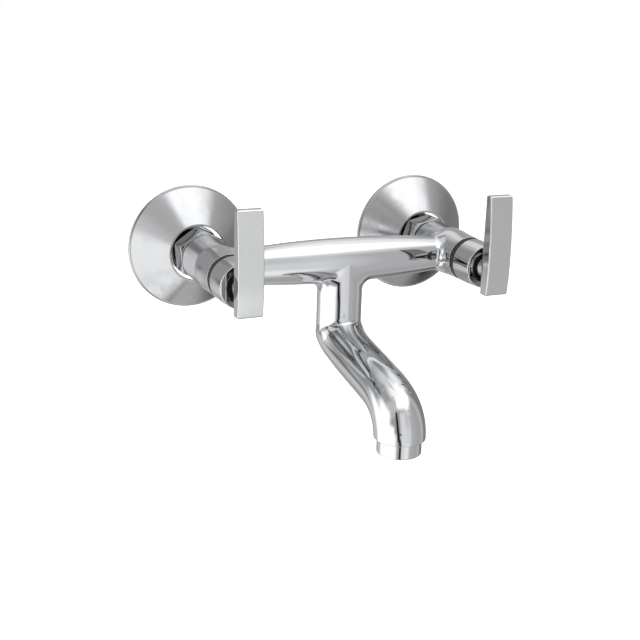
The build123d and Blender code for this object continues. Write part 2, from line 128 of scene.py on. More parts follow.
def sweep(build, prof, centre, axis="s", n=160, closed=True, ang=None, first=None, crease=33.0):
    """Adds a turned surface. prof holds (radius, place along the axis); first, if given, is the normal at its start."""
    if ang is None:
        ang = np.arange(n) * 2 * math.pi / n
    n = len(ang)
    prof = [(max(float(r), 0.0), float(t)) for r, t in prof]
    m = len(prof)
    pn = profile_normals(prof, closed, crease)
    if first is not None:
        pn[0, 0] = first
    rows, start, verts = [], 0, []
    for r, t in prof:
        a = ang if r > 1e-9 else ang[:1]
        verts.append(turned_points(r, t, centre, axis, a))
        rows.append((start, len(a)))
        start += len(a)
    verts = np.concatenate(verts)
    j = np.arange(n)
    q = (j + 1) % n
    quads, qn, tris, tn = [], [], [], []
    for i in range(m if closed else m - 1):
        k = (i + 1) % m
        (a0, la), (b0, lb) = rows[i], rows[k]
        if la == 1 and lb == 1:
            continue
        na, nb = turned_normals(pn[i, 0], axis, ang), turned_normals(pn[i, 1], axis, ang)
        if la > 1 and lb > 1:
            quads.append(np.stack([a0 + j, a0 + q, b0 + q, b0 + j], 1))
            qn.append(np.stack([na[j], na[q], nb[q], nb[j]], 1))
        elif la == 1:
            tris += [(a0, b0 + int(y), b0 + int(x)) for x, y in zip(j, q)]
            tn += [np.stack([na[x], nb[y], nb[x]]) for x, y in zip(j, q)]
        else:
            tris += [(a0 + int(x), a0 + int(y), b0) for x, y in zip(j, q)]
            tn += [np.stack([na[x], na[y], nb[x]]) for x, y in zip(j, q)]
    base = build.count
    build.quads(verts, np.concatenate(quads), np.concatenate(qn))
    for t3, nn in zip(tris, tn):
        p = verts[list(t3)]
        g = np.cross(p[1] - p[0], p[2] - p[0])
        t3, nn = (t3, nn) if g @ nn.sum(0) >= 0 else (t3[::-1], nn[::-1])
        build.f.append([base + i for i in t3])
        build.n.append(nn)


def rounded(points, n=6):
    """A profile with corners rounded: points hold (r, t) or (r, t, radius)."""
    out, m = [], len(points)
    for i in range(m):
        rad = points[i][2] if len(points[i]) > 2 else 0.0
        p = np.array(points[i][:2], float)
        if rad <= 0:
            out.append(tuple(p))
            continue
        a, b = np.array(points[i - 1][:2], float) - p, np.array(points[(i + 1) % m][:2], float) - p
        la, lb = np.linalg.norm(a), np.linalg.norm(b)
        a, b = a / la, b / lb
        half = math.acos(max(-1.0, min(1.0, float(a @ b)))) / 2
        cut = min(rad / math.tan(half), 0.49 * la, 0.49 * lb)
        rr = cut * math.tan(half)
        c = p + (a + b) / np.linalg.norm(a + b) * (rr / math.sin(half))
        u, v = p + a * cut - c, p + b * cut - c
        ang = math.acos(max(-1.0, min(1.0, float(u @ v) / (rr * rr))))
        k = max(2, int(round(n * ang / (math.pi / 2)))) if ang > 0.2 else 2
        for x in range(k + 1):
            t = x / k
            out.append(tuple(c + (math.sin((1 - t) * ang) * u + math.sin(t * ang) * v) / math.sin(ang)))
    return out


# ------------------------------------------------------------------ implicit surfaces
def surface_nets(f, lo, hi, h):
    lo, hi = np.array(lo, float), np.array(hi, float)
    dims = np.ceil((hi - lo) / h).astype(int) + 1
    ax = [lo[i] + h * np.arange(dims[i]) for i in range(3)]
    F = np.empty(dims)
    yy, zz = np.meshgrid(ax[1], ax[2], indexing="ij")
    for i in range(0, dims[0], 8):
        xs = ax[0][i:i + 8]
        P = np.empty((len(xs), yy.size, 3))
        P[..., 0] = xs[:, None]
        P[..., 1] = yy.ravel()
        P[..., 2] = zz.ravel()
        F[i:i + 8] = f(P.reshape(-1, 3)).reshape(len(xs), *yy.shape)
    inside = F < 0
    shape = tuple(dims - 1)
    total, count = np.zeros(shape + (3,)), np.zeros(shape)

    def part(arr, o):
        return arr[o[0]:o[0] + shape[0], o[1]:o[1] + shape[1], o[2]:o[2] + shape[2]]

    for o in [(a, b, c) for a in (0, 1) for b in (0, 1) for c in (0, 1)]:
        for axis in range(3):
            if o[axis]:
                continue
            q = list(o)
            q[axis] = 1
            a, b = part(F, o), part(F, q)
            hit = (a < 0) != (b < 0)
            t = np.where(hit, a / np.where(hit, a - b, 1.0), 0.0)
            for d in range(3):
                total[..., d] += np.where(hit, o[d] + (t if d == axis else 0.0), 0.0)
            count += hit
    cells = count > 0
    index = np.full(shape, -1)
    index[cells] = np.arange(int(cells.sum()))
    verts = lo + h * (np.stack(np.nonzero(cells), 1) + total[cells] / count[cells][:, None])
    faces = []
    for axis in range(3):
        b, c = (axis + 1) % 3, (axis + 2) % 3
        s0, s1 = [slice(None)] * 3, [slice(None)] * 3
        s0[axis], s1[axis] = slice(0, -1), slice(1, None)
        idx = np.stack(np.nonzero(inside[tuple(s0)] != inside[tuple(s1)]), 1)
        idx = idx[(idx[:, b] > 0) & (idx[:, c] > 0) & (idx[:, b] < dims[b] - 1) & (idx[:, c] < dims[c] - 1)]
        quad = []
        for ob, oc in ((1, 1), (0, 1), (0, 0), (1, 0)):
            q = idx.copy()
            q[:, b] -= ob
            q[:, c] -= oc
            quad.append(index[q[:, 0], q[:, 1], q[:, 2]])
        faces.append(np.stack(quad, 1))
    faces = np.concatenate(faces)
    return verts, faces[(faces >= 0).all(1)]


def gradient(f, p, e=0.01):
    g = np.empty_like(p)
    for d in range(3):
        q, r = p.copy(), p.copy()
        q[:, d] += e
        r[:, d] -= e
        g[:, d] = (f(q) - f(r)) / (2 * e)
    return g


def unit(v):
    return v / np.maximum(np.linalg.norm(v, axis=1, keepdims=True), 1e-9)


def onto(f, p, times=2, cap=0.5):
    for _ in range(times):
        g = gradient(f, p)
        step = (f(p) / np.maximum((g * g).sum(1), 0.05))[:, None] * g
        ln = np.linalg.norm(step, axis=1, keepdims=True)
        p = p - step * np.minimum(1.0, cap / np.maximum(ln, 1e-9))
    return p


def implicit(f, lo, hi, h, relax=5, cuts=(), ends=()):
    """Mesh of f's zero surface, evenly spread, cut at planes (axis, value, side that stays).
    ends are open round edges to carry on: (axis, value, centre of the other two, reach, profile, exact radius, letter)."""
    v, q = surface_nets(f, lo, hi, h)
    v = onto(f, v, 2)
    e = np.concatenate([q[:, [0, 1]], q[:, [1, 2]], q[:, [2, 3]], q[:, [3, 0]]])
    e = np.unique(np.sort(e, 1), axis=0)
    deg = np.bincount(e.ravel(), minlength=len(v)).astype(float)
    for _ in range(relax):
        acc = np.stack([np.bincount(e[:, 0], v[e[:, 1], d], len(v)) + np.bincount(e[:, 1], v[e[:, 0], d], len(v))
                        for d in range(3)], 1)
        g = unit(gradient(f, v))
        step = acc / np.maximum(deg, 1)[:, None] - v
        step -= (step * g).sum(1, keepdims=True) * g
        v = onto(f, v + 0.55 * step, 1)
    v = onto(f, v, 2)
    bm = bmesh.new()
    bv = [bm.verts.new(p) for p in v.tolist()]
    for face in q.tolist():
        if len(set(face)) == 4:
            try:
                bm.faces.new([bv[i] for i in face])
            except ValueError:
                pass
    bmesh.ops.delete(bm, geom=[x for x in bm.verts if not x.link_faces], context="VERTS")
    for axis, value, keep in cuts:
        co, no = [0.0, 0.0, 0.0], [0.0, 0.0, 0.0]
        co[axis], no[axis] = value, keep
        bmesh.ops.bisect_plane(bm, geom=bm.verts[:] + bm.edges[:] + bm.faces[:], dist=1e-5,
                               plane_co=co, plane_no=no, clear_inner=True)
    bmesh.ops.delete(bm, geom=[x for x in bm.verts if not x.link_faces], context="VERTS")
    bm.verts.index_update()
    verts = np.array([x.co[:] for x in bm.verts])
    rings = []
    for axis, value, near, reach, prof, radius, letter in ends:
        o = [d for d in range(3) if d != axis]
        ring = set()
        for x in bm.edges:
            if len(x.link_faces) == 1 and all(
                    abs(w.co[axis] - value) < 2e-3 and math.hypot(w.co[o[0]] - near[0], w.co[o[1]] - near[1]) < reach
                    for w in x.verts):
                ring |= {w.index for w in x.verts}
        ring = np.array(sorted(ring))
        ang = np.arctan2(verts[ring, o[1]] - near[1], verts[ring, o[0]] - near[0])
        order = np.argsort(ang)
        ring, ang = ring[order], ang[order]
        verts[ring, axis] = value
        verts[ring, o[0]] = near[0] + radius * np.cos(ang)
        verts[ring, o[1]] = near[1] + radius * np.sin(ang)
        rings.append((ang, near, prof, letter))
    faces = [[w.index for w in x.verts] for x in bm.faces]
    bm.free()
    g = unit(gradient(f, verts))
    build = Build()
    four = np.array([x for x in faces if len(x) == 4])
    build.quads(verts, four, g[four])
    for face in faces:
        if len(face) != 4:
            p, nn = verts[face], g[face]
            c = np.zeros(3)
            for i in range(1, len(p) - 1):
                c += np.cross(p[i] - p[0], p[i + 1] - p[0])
            if c @ nn.sum(0) < 0:
                face, nn = face[::-1], nn[::-1]
            build.f.append(list(face))
            build.n.append(nn)
    for ang, near, prof, letter in rings:
        sweep(build, prof, near, axis=letter, closed=False, ang=ang, first=(1.0, 0.0))
    return build


def merge(obj, dist=2e-6):
    """Joins the carried-on rings to the edge they start from, keeping every corner normal."""
    me = obj.data
    n = np.zeros(len(me.loops) * 3, np.float32)
    me.corner_normals.foreach_get("vector", n)
    n = n.reshape(-1, 3).tolist()
    bm = bmesh.new()
    bm.from_mesh(me)
    layer = bm.loops.layers.float_vector.new("keep")
    i = 0
    for face in bm.faces:
        for loop in face.loops:
            loop[layer] = n[i]
            i += 1
    bmesh.ops.remove_doubles(bm, verts=bm.verts[:], dist=dist)
    bmesh.ops.delete(bm, geom=[x for x in bm.verts if not x.link_faces], context="VERTS")
    keep = [tuple(loop[layer]) for face in bm.faces for loop in face.loops]
    bm.loops.layers.float_vector.remove(layer)
    bm.to_mesh(me)
    bm.free()
    me.shade_smooth()
    me.normals_split_custom_set(keep)
    return obj


def union(a, b, k):
    """Union with a round fillet of radius k."""
    u, v = np.maximum(k - a, 0), np.maximum(k - b, 0)
    return np.maximum(k, np.minimum(a, b)) - np.sqrt(u * u + v * v)


def both(a, b, k):
    """Intersection with its outer corner rounded by radius k."""
    u, v = np.maximum(k + a, 0), np.maximum(k + b, 0)
    return np.minimum(-k, np.maximum(a, b)) + np.sqrt(u * u + v * v)


def smoothstep(t):
    t = np.clip(t, 0, 1)
    return t * t * (3 - 2 * t)


def quarter(r, t, rad, up, n=5):
    """The last points of a profile's rounded corner: from (r + rad, t) round to (r, t + or - rad)."""
    return [(r + rad * math.cos(a), t + up * rad * math.sin(a)) for a in np.linspace(0, math.pi / 2, n)[1:]]


# ------------------------------------------------------------------ mixer body
def body_field(P):
    x, s, z = P[:, 0], -P[:, 1], P[:, 2]
    ax = np.abs(x)
    rb = np.hypot(s - BAR_S, z)
    db = -2.8 * 2 * x / 3600
    wb = np.sqrt(1 + db * db)
    bar = (rb - (13.2 - 2.8 * (x / 60) ** 2)) / wb
    bar = np.maximum(bar, ax - 74)
    rc = np.hypot(ax - XV, z)
    t = (s - 31.2) / 48.2
    e = np.exp(-(((s - 58) / 9) ** 2))
    dc = -0.5 / 48.2 - 0.6 * e * 2 * (s - 58) / 81
    cham = (rc - (13.8 - 0.5 * t + 0.6 * e)) / np.sqrt(1 + dc * dc)
    d = union(bar, cham, 3.8)
    # the neck, a little narrower where it meets the barrel, with a fillet at its sides only
    rn = np.hypot(x, s - NECK_S)
    neck = rn - (NECK_R - 0.6 * smoothstep((z + 22) / 22))
    neck = np.maximum(neck, z)
    rbs, rns = np.maximum(rb, 1e-6), np.maximum(rn, 1e-6)
    dot = ((-db) * (x / rns) + ((s - BAR_S) / rbs) * ((s - NECK_S) / rns)) / wb
    k = 6.0 * np.clip(1 - dot * dot, 0.02, 1)
    return union(d, neck, k)


def make_body():
    cuts = [(1, -33.9, -1), (1, -78.04, 1), (2, NECK_Z, 1)]
    mouth = [(13.3, 78.04)] + quarter(13.14, 78.04, 0.16, 1, 4) + [
        (10.6, 78.2), (10.5, 78.1), (10.5, 67.0), (9.85, 66.3), (9.85, 48.3), (0, 48.3)]
    back = [(13.77, 33.9)] + quarter(13.47, 33.9, 0.3, -1) + [
        (12.1, 33.6), (12.0, 33.5), (12.0, 24.1), (11.5, 23.62), (9.9, 23.62), (9.9, 24.1), (8.9, 24.1), (8.9, 43.0), (0, 43.0)]
    neck = [(13.4, NECK_Z), (13.4, NECK_Z - 0.001), (10.97, NECK_Z), (10.97, -24.0), (8.6, -24.0), (8.6, -21.0), (0, -21.0)]
    ends = [(2, NECK_Z, (0, -NECK_S), 16, neck, 13.4, "z")]
    for _, cx in SIDES:
        ends.append((1, -78.04, (cx, 0), 16, mouth, 13.3, "s"))
        ends.append((1, -33.9, (cx, 0), 16, back, 13.77, "s"))
    b = implicit(body_field, (-90.5, -82, -33), (90.5, -29, 16), 0.72, cuts=cuts, ends=ends)
    return merge(b.make("body_casting"))


# ------------------------------------------------------------------ spout
LINE = np.array([
    (59.4, -43.6, 13.9), (62.6, -45.4, 13.9), (70.5, -48.4, 13.55), (85.4, -51.7, 13.35), (100.4, -54.1, 13.4),
    (115.3, -56.6, 13.4), (124.0, -58.3, 13.5), (130.6, -60.6, 13.75), (136.4, -64.0, 14.05),
    (140.6, -68.5, 14.3), (142.9, -73.4, 14.35), (OUT_S, OUT_Z, 14.3), (OUT_S, -84.0, 14.3), (OUT_S, -90.0, 14.3),
])


class Curve:
    """A smooth curve through points, as cubic pieces, with the closest point found for many points at once."""

    def __init__(self, pts):
        self.p = pts
        m = len(pts)
        d = np.linalg.norm(np.diff(pts[:, :2], axis=0), axis=1)
        self.u = np.concatenate([[0], np.cumsum(d)])
        h = np.diff(self.u)
        A, B = np.zeros((m, m)), np.zeros((m, pts.shape[1]))
        A[0, 0] = A[-1, -1] = 1
        for i in range(1, m - 1):
            A[i, i - 1], A[i, i], A[i, i + 1] = h[i - 1], 2 * (h[i - 1] + h[i]), h[i]
            B[i] = 6 * ((pts[i + 1] - pts[i]) / h[i] - (pts[i] - pts[i - 1]) / h[i - 1])
        self.m = np.linalg.solve(A, B)
        self.h = h
        self.dense = np.linspace(0, self.u[-1], 120)
        self.dp = self.at(self.dense)[0]

    def at(self, u):
        i = np.clip(np.searchsorted(self.u, u, side="right") - 1, 0, len(self.h) - 1)
        h = self.h[i][:, None]
        a = (self.u[i + 1] - u)[:, None] / h
        b = 1 - a
        p = a * self.p[i] + b * self.p[i + 1] + ((a ** 3 - a) * self.m[i] + (b ** 3 - b) * self.m[i + 1]) * h * h / 6
        d = (self.p[i + 1] - self.p[i]) / h + (-(3 * a * a - 1) * self.m[i] + (3 * b * b - 1) * self.m[i + 1]) * h / 6
        return p, d

    def closest(self, q):
        out = np.empty(len(q))
        for i in range(0, len(q), 8000):
            c = q[i:i + 8000]
            out[i:i + 8000] = self.dense[((c[:, None, :] - self.dp[None, :, :2]) ** 2).sum(2).argmin(1)]
        for _ in range(3):
            p, d = self.at(out)
            step = ((q - p[:, :2]) * d[:, :2]).sum(1) / (d[:, :2] ** 2).sum(1)
            out = np.clip(out + np.clip(step, -0.9, 0.9), 0, self.u[-1])
        return out


CURVE = Curve(LINE)


def spout_field(P):
    x, s, z = P[:, 0], -P[:, 1], P[:, 2]
    q = np.stack([s, z], 1)
    p, _ = CURVE.at(CURVE.closest(q))
    tube = np.sqrt(x ** 2 + ((q - p[:, :2]) ** 2).sum(1)) - p[:, 2]
    rn = np.hypot(x, s - NECK_S)
    drop = np.maximum(rn - NECK_R, -44.0 - z)
    ball = np.sqrt(x * x + (s - 60.6) ** 2 + (z + 43.6) ** 2) - 13.9
    bend = union(drop, ball, 0.8)
    return union(bend, tube, 2.2 * np.clip((s - 62) / 6, 0.05, 1))


def make_spout():
    top = [(13.4, NECK_Z), (13.4, NECK_Z + 0.001), (10.9, NECK_Z), (10.9, -24.3), (9.2, -24.3), (9.2, -33.0), (0, -33.0)]
    out = [(14.3, -77.9)] + quarter(13.8, -77.9, 0.5, -1, 6) + [
        (12.1, OUT_Z), (11.97, OUT_Z + 0.15), (11.97, -71.8), (9.2, -71.8), (9.2, -66.0), (0, -66.0)]
    b = implicit(spout_field, (-16, -160, -81), (16, -43, -28), 0.72,
                 cuts=[(2, NECK_Z, -1), (2, -77.9, 1)],
                 ends=[(2, NECK_Z, (0, -NECK_S), 18, top, 13.4, "z"), (2, -77.9, (0, -OUT_S), 22, out, 14.3, "z")])
    return merge(b.make("spout_casting"))


# ------------------------------------------------------------------ lever handle, built on its own axis
HANDLE_FRONT = np.array([(-13.8, 111.4), (-11.4, 111.85), (-6.8, 112.3), (2.0, 112.6), (12.0, 112.6), (22.0, 112.2),
                         (31.0, 111.5), (40.0, 110.45), (44.0, 109.95)])
FRONT_FIT = np.polyfit(HANDLE_FRONT[:, 0], HANDLE_FRONT[:, 1], 4)
FRONT_DER = np.polyder(FRONT_FIT)


def handle_field(P):
    x, s, z = P[:, 0], -P[:, 1], P[:, 2]
    zc = np.clip(z, -15, 46)
    slope = np.polyval(FRONT_DER, zc)
    front = (s - np.polyval(FRONT_FIT, zc)) / np.sqrt(1 + slope ** 2)
    ends = np.maximum(z - 44.0, -13.8 - z)
    slab = both(both(front, ends, 1.1), 105.0 - s, 0.7)
    bar = both(slab, np.abs(x) - 7.2, 0.55)
    r = np.hypot(x, z)
    taper = 1.2 * np.clip((s - 97.2) / 7.8, 0, 1)      # the hub narrows from its ring to the lever
    hub = both(both(r - 7.4 + taper, 94.6 - s, 0.4), s - 108.0, 0.4)
    d = union(bar, hub, 0.7)
    bore = np.maximum(r - 4.02, s - 106.1)
    grub = np.maximum(np.hypot(x, s - 101.1) - 2.04, z + 3.0)
    return both(both(d, -bore, 0.2), -grub, 0.25)


# ------------------------------------------------------------------ union nut, built on its own axis
def nut_field(turn):
    """Hexagon of 27 mm across flats; "turn" is the angle from the vertical to a corner."""

    def field(P):
        x, s, z = P[:, 0], -P[:, 1], P[:, 2]
        r = np.hypot(x, z)
        d = None
        for i in range(3):
            a = math.radians(90 + turn + 30 + 60 * i)
            w = np.abs(x * math.cos(a) + z * math.sin(a)) - 13.5
            d = w if d is None else both(d, w, 0.8)
        for sgn, end in ((-1, 17.6), (1, 31.0)):
            w = sgn * (s - end)
            cone = (r - 13.35) * 0.5 + w * 0.866          # turned chamfer: the corners run off 1.2 mm before the end
            d = both(both(d, cone, 0.3), w, 0.3)
        bore = np.maximum(r - 12.06, 19.6 - s)
        return both(both(d, -bore, 0.25), 10.2 - r, 0.3)

    return field


# ------------------------------------------------------------------ turned pieces
def flange_profile():
    k = (36.3 - 17.6) / 17.6
    w = 1.1 * math.sqrt(1 + k * k)
    return rounded([
        (36.2, 0.0), (37.1, 0.0, 0.4), (37.5, 0.5, 0.6), (37.5, 1.9, 0.6), (36.6, 2.4, 0.5), (36.25, 2.45, 0.35),
        (17.5, 20.0, 0.7), (16.4, 20.0, 0.35), (16.4, 18.8), (36.3 - w, 2.4, 0.6), (36.2, 1.6, 0.4)], n=8)


def bonnet_profile():
    pts = [(11.75, 82.8), (13.14, 82.8), (13.22, 82.82), (13.28, 82.88), (13.3, 82.96)]
    for i in range(1, 15):
        t = i / 14
        pts.append((13.3 - 0.7 * t ** 1.5, 82.96 + (98.1 - 82.96) * t))
    pts += quarter(12.1, 98.1, 0.5, 1, 6)
    pts += [(9.3, 98.6), (9.1, 98.53), (9.0, 98.32), (9.0, 95.0), (8.66, 95.0), (8.66, 85.6), (11.75, 85.6)]
    return pts


def seam_ring_profile():
    return rounded([(11.78, 78.22), (12.85, 78.22, 0.1), (12.85, 82.78, 0.1), (11.78, 82.78)], n=4)


def glide_ring_profile():
    return rounded([(7.55, 95.02, 0.1), (8.97, 95.02), (8.97, 97.4, 0.15), (7.55, 97.4, 0.4)], n=6)


def aerator_profile():
    pts = [(11.9, -74.2), (11.9, OUT_Z + 0.02), (12.1, OUT_Z + 0.02), (12.28, OUT_Z - 0.05), (12.35, OUT_Z - 0.25)]
    pts += [(12.35, -80.0), (12.35, -82.0), (12.35, -84.0), (12.35, -86.1)]
    pts += quarter(11.45, -86.1, 0.9, -1, 8)
    pts += [(9.9, -87.0), (9.6, -86.88), (9.5, -86.6), (9.5, -84.7), (9.6, -84.62), (10.3, -84.62), (10.3, -74.2)]
    return pts


def make_leg(name, cx):
    """Wall leg: G1/2 thread behind the wall plane, plain barrel, collar for the union nut, hexagon socket inside."""
    b = Build()
    pitch, major, depth = 1.814, 10.4775, 1.162
    m, rows = 144, 104
    ang = np.arange(m) * 2 * math.pi / m
    s = np.linspace(-14.98, -0.05, rows)

    def radius(a, t):
        w = 0.5 + 0.5 * np.cos(2 * math.pi * (t / pitch - a / (2 * math.pi)))
        w = w * w * (3 - 2 * w)
        r = np.minimum(major - depth * (1 - w), 9.25 + (t + 14.98) * 0.9)
        run = np.clip((t + 1.9) / 1.6, 0, 1)
        return r * (1 - run) + np.minimum(r, 9.32) * run

    A, T = np.meshgrid(ang, s)
    R = radius(A, T)
    e = 0.01
    dT = (radius(A, T + e) - radius(A, T - e)) / (2 * e)
    dA = (radius(A + e, T) - radius(A - e, T)) / (2 * e)
    verts = np.stack([cx + R * np.cos(A), -T, R * np.sin(A)], -1).reshape(-1, 3)
    nn = np.stack([np.cos(A) + dA / R * np.sin(A), dT, np.sin(A) - dA / R * np.cos(A)], -1).reshape(-1, 3)
    j = np.arange(m)
    q = (j + 1) % m
    quads = np.concatenate([np.stack([i * m + j, i * m + q, (i + 1) * m + q, (i + 1) * m + j], 1) for i in range(rows - 1)])
    b.quads(verts, quads, unit(nn)[quads])

    def ring(r, y):
        return np.stack([cx + r * np.cos(ang), np.full(m, float(y)), r * np.sin(ang)], 1)

    def band(r0, r1, normals):
        b.quads(np.concatenate([r0, r1]), np.stack([j, q, m + q, m + j], 1), normals)

    behind, before = np.tile([0.0, 1.0, 0.0], (m, 4, 1)), np.tile([0.0, -1.0, 0.0], (m, 4, 1))
    band(ring(R[0], 14.98), ring(9.1, 15.0), behind)
    sweep(b, [(9.1, -15.0), (6.6, -15.0), (6.4, -14.93), (6.3, -14.7), (6.3, 8.0)], (cx, 0), closed=False, ang=ang, first=(0.0, -1.0))
    hexr = np.minimum(6.4 / np.cos((ang + math.pi / 6) % (math.pi / 3) - math.pi / 6), 7.2)
    flat = np.floor((ang + math.pi / 6) / (math.pi / 3)) * math.pi / 3
    fn = -np.stack([np.cos(flat), np.zeros(m), np.sin(flat)], 1)
    band(ring(6.3, -8.0), ring(hexr, -8.0), before)
    band(ring(hexr, -8.0), ring(hexr, -21.6), np.stack([fn[j], fn[q], fn[q], fn[j]], 1))
    band(ring(hexr, -21.6), ring(11.0, -21.6), before)
    sweep(b, [(11.0, 21.6), (11.21, 21.51), (11.3, 21.3), (11.3, 19.8), (11.15, 19.6), (10.1, 19.6), (9.96, 19.54),
              (9.9, 19.4), (9.9, 14.4), (9.96, 14.26), (10.1, 14.2), (14.8, 14.2), (15.08, 14.08), (15.2, 13.8),
              (15.2, 10.9), (15.08, 10.62), (14.8, 10.5), (10.1, 10.5), (9.96, 10.44), (9.9, 10.3),
              (9.9, 0.25), (9.83, 0.07), (9.65, 0.0)], (cx, 0), closed=False, ang=ang, first=(0.0, 1.0))
    band(ring(R[-1], 0.05), ring(9.65, 0.0), behind)
    return merge(b.make(name))


def turned_piece(name, prof, centre, axis="s", n=192, crease=33.0):
    b = Build()
    sweep(b, prof, centre, axis, n=n, crease=crease)
    return merge(b.make(name))


# ------------------------------------------------------------------ materials
class Nodes:
    """Short forms for shader nodes."""

    def __init__(self, tree):
        self.t = tree

    def put(self, kind, **sets):
        node = self.t.nodes.new(kind)
        for k, v in sets.items():
            setattr(node, k, v)
        return node

    def link(self, a, b):
        self.t.links.new(a, b)

    def math(self, op, *args, clamp=False):
        node = self.put("ShaderNodeMath", operation=op, use_clamp=clamp)
        for i, a in enumerate(args):
            if isinstance(a, (int, float)):
                node.inputs[i].default_value = a
            else:
                self.link(a, node.inputs[i])
        return node.outputs[0]

    def ramp01(self, x, lo, hi):
        """0 below lo, 1 above hi, smooth between."""
        node = self.put("ShaderNodeMapRange", interpolation_type="SMOOTHSTEP")
        self.link(x, node.inputs["Value"])
        node.inputs["From Min"].default_value, node.inputs["From Max"].default_value = lo, hi
        return node.outputs["Result"]

    def noise(self, coord, scale, detail=3.0, rough=0.55, stretch=None):
        src = coord
        if stretch:
            mp = self.put("ShaderNodeMapping")
            self.link(coord, mp.inputs["Vector"])
            mp.inputs["Scale"].default_value = stretch
            src = mp.outputs["Vector"]
        node = self.put("ShaderNodeTexNoise")
        self.link(src, node.inputs["Vector"])
        node.inputs["Scale"].default_value = scale
        node.inputs["Detail"].default_value = detail
        node.inputs["Roughness"].default_value = rough
        return node.outputs["Fac"]

    def mixf(self, fac, a, b):
        node = self.put("ShaderNodeMix", data_type="FLOAT")
        for sock, v in ((node.inputs[0], fac), (node.inputs[2], a), (node.inputs[3], b)):
            if isinstance(v, (int, float)):
                sock.default_value = v
            else:
                self.link(v, sock)
        return node.outputs[0]

    def colours(self, fac, stops):
        node = self.put("ShaderNodeValToRGB")
        el = node.color_ramp.elements
        while len(el) < len(stops):
            el.new(0.5)
        for e, (pos, c) in zip(el, stops):
            e.position, e.color = pos, (*c, 1)
        self.link(fac, node.inputs[0])
        return node.outputs[0]


def material(name):
    m = bpy.data.materials.new(name)
    m.use_nodes = True
    t = m.node_tree
    t.nodes.clear()
    n = Nodes(t)
    out = n.put("ShaderNodeOutputMaterial")
    p = n.put("ShaderNodeBsdfPrincipled")
    n.link(p.outputs[0], out.inputs["Surface"])
    coord = n.put("ShaderNodeTexCoord").outputs["Object"]
    return m, n, p, coord


def bump(n, p, height, strength, distance):
    b = n.put("ShaderNodeBump")
    b.inputs["Strength"].default_value = strength
    b.inputs["Distance"].default_value = distance
    n.link(height, b.inputs["Height"])
    n.link(b.outputs[0], p.inputs["Normal"])


def chrome(name, tint=(0.55, 0.555, 0.565), rough=0.06, wave=0.25, dull_and_shaded_inside=False):
    """Bright nickel-chrome plate: near-mirror, with buffing waviness, faint wiping marks and water haze.
    With the inside flag set, the inner face of the wall flange's cone is rough like the bare pressing, and painted dark
    grey as shade where the wall would shade the hollow."""
    m, n, p, co = material(name)
    haze = n.noise(co, 38.0, 4.0, 0.6)
    wipe = n.noise(co, 240.0, 3.0, 0.6, (1.0, 1.0, 0.22))
    both_ = n.math("ADD", n.math("MULTIPLY", haze, 0.65), n.math("MULTIPLY", wipe, 0.35))
    gloss = n.mixf(n.ramp01(both_, 0.38, 0.72), rough * 0.7, rough * 1.7)
    lo = tuple(c * 0.975 for c in tint)
    tone = n.colours(n.ramp01(haze, 0.35, 0.7), [(0.0, tint), (1.0, lo)])
    if dull_and_shaded_inside:
        # painted shade: the flange cone's inner face, found by position, is mixed to a dark 0.10 grey for the wall's
        # shadow in the hollow; its higher roughness is the bare pressing
        sep = n.put("ShaderNodeSeparateXYZ")
        n.link(co, sep.inputs[0])
        side = n.math("SUBTRACT", n.math("ABSOLUTE", sep.outputs[0]), 0.075)
        rad = n.math("SQRT", n.math("ADD", n.math("MULTIPLY", side, side), n.math("MULTIPLY", sep.outputs[2], sep.outputs[2])))
        # the outer face: 37.1 mm at the rim, then a cone that loses 1.0653 mm of radius for each mm out from the wall
        outer = n.math("MINIMUM", n.math("ADD", 0.03885, n.math("MULTIPLY", sep.outputs[1], 1.0653)), 0.0371)
        depth = n.math("SUBTRACT", outer, rad)
        inner_shade_mask = n.math("MULTIPLY", n.ramp01(depth, 0.0005, 0.0008), n.ramp01(sep.outputs[1], -0.0198, -0.0194))
        dull_and_painted_shade = n.put("ShaderNodeMix", data_type="RGBA")
        n.link(inner_shade_mask, dull_and_painted_shade.inputs[0])
        n.link(tone, dull_and_painted_shade.inputs[6])
        dull_and_painted_shade.inputs[7].default_value = (0.10, 0.10, 0.103, 1)
        tone = dull_and_painted_shade.outputs[2]
        gloss = n.mixf(inner_shade_mask, gloss, 0.6)
    n.link(gloss, p.inputs["Roughness"])
    n.link(tone, p.inputs["Base Color"])
    p.inputs["Metallic"].default_value = 1.0
    buff = n.noise(co, 70.0, 2.0, 0.5)
    bump(n, p, buff, wave, 0.00004)
    return m


def brass():
    m, n, p, co = material("turned_brass")
    rings = n.noise(co, 900.0, 2.0, 0.5, (0.05, 1.0, 0.05))
    tarn = n.noise(co, 60.0, 4.0, 0.6)
    n.link(n.colours(n.ramp01(tarn, 0.3, 0.75), [(0.0, (0.80, 0.60, 0.27)), (0.6, (0.72, 0.52, 0.23)), (1.0, (0.52, 0.36, 0.17))]),
           p.inputs["Base Color"])
    n.link(n.mixf(rings, 0.18, 0.42), p.inputs["Roughness"])
    p.inputs["Metallic"].default_value = 1.0
    bump(n, p, rings, 0.35, 0.00003)
    return m


